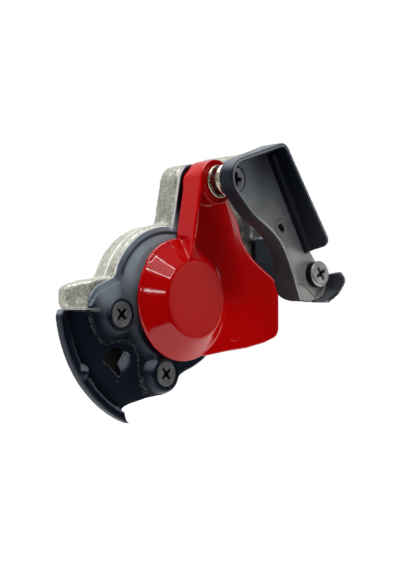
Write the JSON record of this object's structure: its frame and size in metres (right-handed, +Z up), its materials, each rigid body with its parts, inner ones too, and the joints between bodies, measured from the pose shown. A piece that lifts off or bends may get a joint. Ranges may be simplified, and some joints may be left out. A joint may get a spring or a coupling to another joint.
{
  "type": "palm coupling head",
  "caption": "Cast palm coupling head for an air brake line, with a pressed claw plate, a hook bracket and a sprung red dust cap that swivels off the seal.",
  "frame": {"origin": "centre of the mouth of the rear port", "axes": "+Y out of the port at the rear, +Z up towards the cap's pivot, +X right seen from the coupling face"},
  "size_m": [0.1299, 0.0789, 0.1239],
  "materials": {
    "casting": "raw die cast",
    "plate_paint": "gloss black",
    "bracket_paint": "satin black",
    "zinc_black": "black zinc",
    "sleeve_steel": "turned",
    "spring_wire": "bright wire",
    "cap_red": "gloss",
    "seal_rubber": "matt"
  },
  "bodies": {
    "head": {"body": "casting", "seal_ring": "seal_rubber", "face_plate": "plate_paint", "upper_face_screw": "zinc_black", "lower_face_screw": "zinc_black", "pivot_sleeve": "sleeve_steel", "cap_spring": "spring_wire", "bracket": "bracket_paint", "pivot_screw": "zinc_black", "detent_screw": "zinc_black"},
    "cap": {"cap": "cap_red"}
  },
  "joints": [
    {"name": "cap_swivel", "type": "hinge", "parent": "head", "child": "cap", "pos_m": [0.0125, -0.0455, 0.0525], "axis": [0, 1, 0], "range_deg": [0, 100], "stiffness_Nm_per_rad": 0.02, "springref_deg": -68.75}
  ]
}
